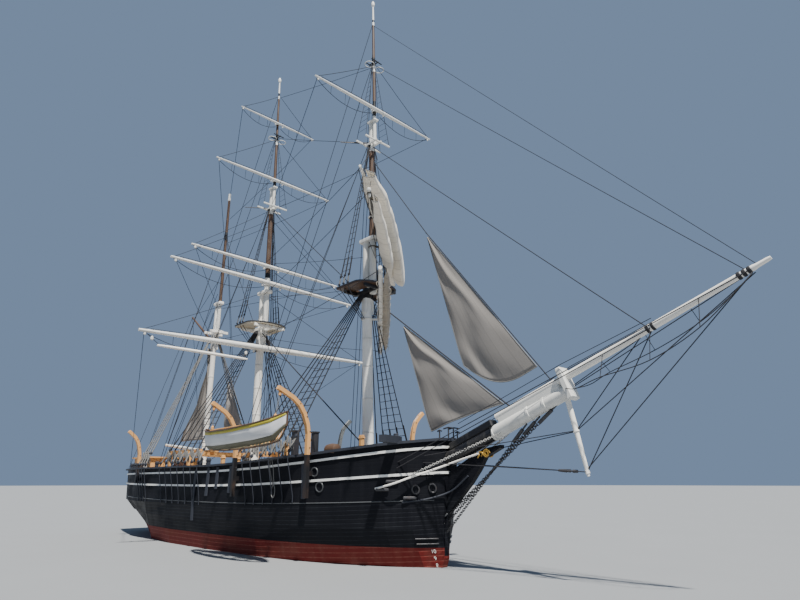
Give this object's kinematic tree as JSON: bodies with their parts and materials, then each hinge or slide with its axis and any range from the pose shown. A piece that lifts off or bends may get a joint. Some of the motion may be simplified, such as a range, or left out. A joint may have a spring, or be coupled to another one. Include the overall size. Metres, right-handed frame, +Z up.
{
  "type": "three-masted whaling bark, 1:2 scale model",
  "caption": "Black-hulled square-rigged sailing ship with white stripes, braced yards, loose sails, a whaleboat on davits and a rudder, wheel and windlass that turn.",
  "frame": {"origin": "amidships on the centre plane at the waterline", "axes": "+X forward, +Y port, +Z up"},
  "size_m": [23.3556, 8.4856, 19.2012],
  "materials": {
    "black_paint": "near-black paint on planks, satin",
    "red_paint": "dark red bottom paint, matt",
    "white_paint": "white paint on wood, satin",
    "deck_planks": "weathered bare planks",
    "dark_spar": "dark oiled spar",
    "tan_paint": "tan paint on wood",
    "shaded_canvas": "grey flax canvas",
    "light_canvas": "off-white canvas",
    "tarred_rope": "tarred rope",
    "brick": "brickwork"
  },
  "bodies": {
    "ship": {"hull_bottom": "red_paint", "hull_topsides": "black_paint", "main_deck": "deck_planks", "bulwark": "black_paint", "main_rail": "black_paint", "upper_moulding": "white_paint", "lower_moulding": "white_paint", "head_knee": "black_paint", "bowsprit": "white_paint", "jibboom": "white_paint", "dolphin_striker": "white_paint", "fore_lower_mast": "white_paint", "fore_topmast": "dark_spar", "fore_topgallant_mast": "dark_spar", "fore_top": "black_paint", "main_lower_mast": "white_paint", "main_topmast": "dark_spar", "main_topgallant_mast": "dark_spar", "main_top": "black_paint", "mizzen_lower_mast": "white_paint", "mizzen_topmast": "dark_spar", "fore_stay": "tarred_rope", "jib_stay": "tarred_rope", "main_stay": "tarred_rope", "mizzen_stay": "tarred_rope", "inner_headsail": "shaded_canvas", "outer_headsail": "shaded_canvas", "mizzen_staysail": "shaded_canvas", "davit_forward_starboard": "tan_paint", "davit_forward_port": "tan_paint", "davit_waist_starboard": "tan_paint", "davit_waist_port": "tan_paint", "davit_quarter_starboard": "tan_paint", "davit_quarter_port": "tan_paint", "whaleboat": "white_paint", "wheel_stand": "tan_paint", "windlass_frame": "tan_paint", "after_house": "tan_paint", "tryworks": "brick", "main_hatch": "deck_planks", "boat_skids": "tan_paint"},
    "fore_course_yard": {"fore_course_yard": "white_paint"},
    "fore_lower_topsail_yard": {"fore_lower_topsail_yard": "white_paint", "fore_lower_topsail": "light_canvas"},
    "fore_upper_topsail_yard": {"fore_upper_topsail_yard": "white_paint", "fore_upper_topsail": "light_canvas"},
    "fore_topgallant_yard": {"fore_topgallant_yard": "white_paint"},
    "main_course_yard": {"main_course_yard": "white_paint"},
    "main_lower_topsail_yard": {"main_lower_topsail_yard": "white_paint"},
    "main_upper_topsail_yard": {"main_upper_topsail_yard": "white_paint"},
    "main_topgallant_yard": {"main_topgallant_yard": "white_paint"},
    "main_royal_yard": {"main_royal_yard": "white_paint"},
    "spanker_boom": {"spanker_boom": "white_paint", "spanker_sail": "shaded_canvas"},
    "spanker_gaff": {"spanker_gaff": "white_paint"},
    "rudder": {"rudder": "red_paint"},
    "steering_wheel": {"steering_wheel": "tan_paint"},
    "windlass_barrel": {"windlass_barrel": "tan_paint"},
    "house_door_starboard": {"house_door_starboard": "tan_paint"},
    "house_door_port": {"house_door_port": "tan_paint"}
  },
  "joints": [
    {"name": "fore_course_brace", "type": "hinge", "parent": "ship", "child": "fore_course_yard", "pos_m": [5.047, 0, 6.3], "axis": [-0.034, 0, 0.9994], "range_deg": [-97, 3]},
    {"name": "fore_lower_topsail_brace", "type": "hinge", "parent": "ship", "child": "fore_lower_topsail_yard", "pos_m": [5.23305, 0, 8.475], "axis": [-0.034, 0, 0.9994], "range_deg": [-90, 6]},
    {"name": "fore_upper_topsail_brace", "type": "hinge", "parent": "ship", "child": "fore_upper_topsail_yard", "pos_m": [5.20075, 0, 9.425], "axis": [-0.034, 0, 0.9994], "range_deg": [-90, 6]},
    {"name": "fore_topgallant_brace", "type": "hinge", "parent": "ship", "child": "fore_topgallant_yard", "pos_m": [5.22682, 0, 13.07], "axis": [-0.034, 0, 0.9994], "range_deg": [-48, 48]},
    {"name": "main_course_brace", "type": "hinge", "parent": "ship", "child": "main_course_yard", "pos_m": [-0.6157, 0, 6.25], "axis": [-0.026, 0, 0.9997], "range_deg": [-44, 52]},
    {"name": "main_lower_topsail_brace", "type": "hinge", "parent": "ship", "child": "main_lower_topsail_yard", "pos_m": [-0.4268, 0, 8.6], "axis": [-0.026, 0, 0.9997], "range_deg": [-50, 46]},
    {"name": "main_upper_topsail_brace", "type": "hinge", "parent": "ship", "child": "main_upper_topsail_yard", "pos_m": [-0.4437, 0, 9.25], "axis": [-0.026, 0, 0.9997], "range_deg": [-50, 46]},
    {"name": "main_topgallant_brace", "type": "hinge", "parent": "ship", "child": "main_topgallant_yard", "pos_m": [-0.38405, 0, 12.725], "axis": [-0.026, 0, 0.9997], "range_deg": [-48, 48]},
    {"name": "main_royal_brace", "type": "hinge", "parent": "ship", "child": "main_royal_yard", "pos_m": [-0.44905, 0, 15.225], "axis": [-0.026, 0, 0.9997], "range_deg": [-48, 48]},
    {"name": "spanker_boom_swing", "type": "hinge", "parent": "ship", "child": "spanker_boom", "pos_m": [-4.025, 0, 2.95], "axis": [0, 0, 1], "range_deg": [-50, 50]},
    {"name": "spanker_gaff_swing", "type": "hinge", "parent": "ship", "child": "spanker_gaff", "pos_m": [-4.025, 0, 7.1], "axis": [0, 0, 1], "range_deg": [-50, 50]},
    {"name": "rudder_turn", "type": "hinge", "parent": "ship", "child": "rudder", "pos_m": [-7.3206, 0, 0], "axis": [0, 0, 1], "range_deg": [-35, 35]},
    {"name": "steering_wheel_turn", "type": "hinge", "parent": "ship", "child": "steering_wheel", "pos_m": [-6.95, 0, 2.25], "axis": [1, 0, 0], "continuous": true},
    {"name": "windlass_turn", "type": "hinge", "parent": "ship", "child": "windlass_barrel", "pos_m": [6.55, 0, 2.36], "axis": [0, 1, 0], "continuous": true},
    {"name": "house_door_starboard_hinge", "type": "hinge", "parent": "ship", "child": "house_door_starboard", "pos_m": [-6.3206, -0.525, 2.23], "axis": [0, 0, -1], "range_deg": [0, 100]},
    {"name": "house_door_port_hinge", "type": "hinge", "parent": "ship", "child": "house_door_port", "pos_m": [-6.3206, 0.525, 2.23], "axis": [0, 0, 1], "range_deg": [0, 100]}
  ],
  "couplings": [
    {"joint": "fore_upper_topsail_brace", "follows": "fore_lower_topsail_brace", "ratio": 1},
    {"joint": "spanker_gaff_swing", "follows": "spanker_boom_swing", "ratio": 1}
  ]
}
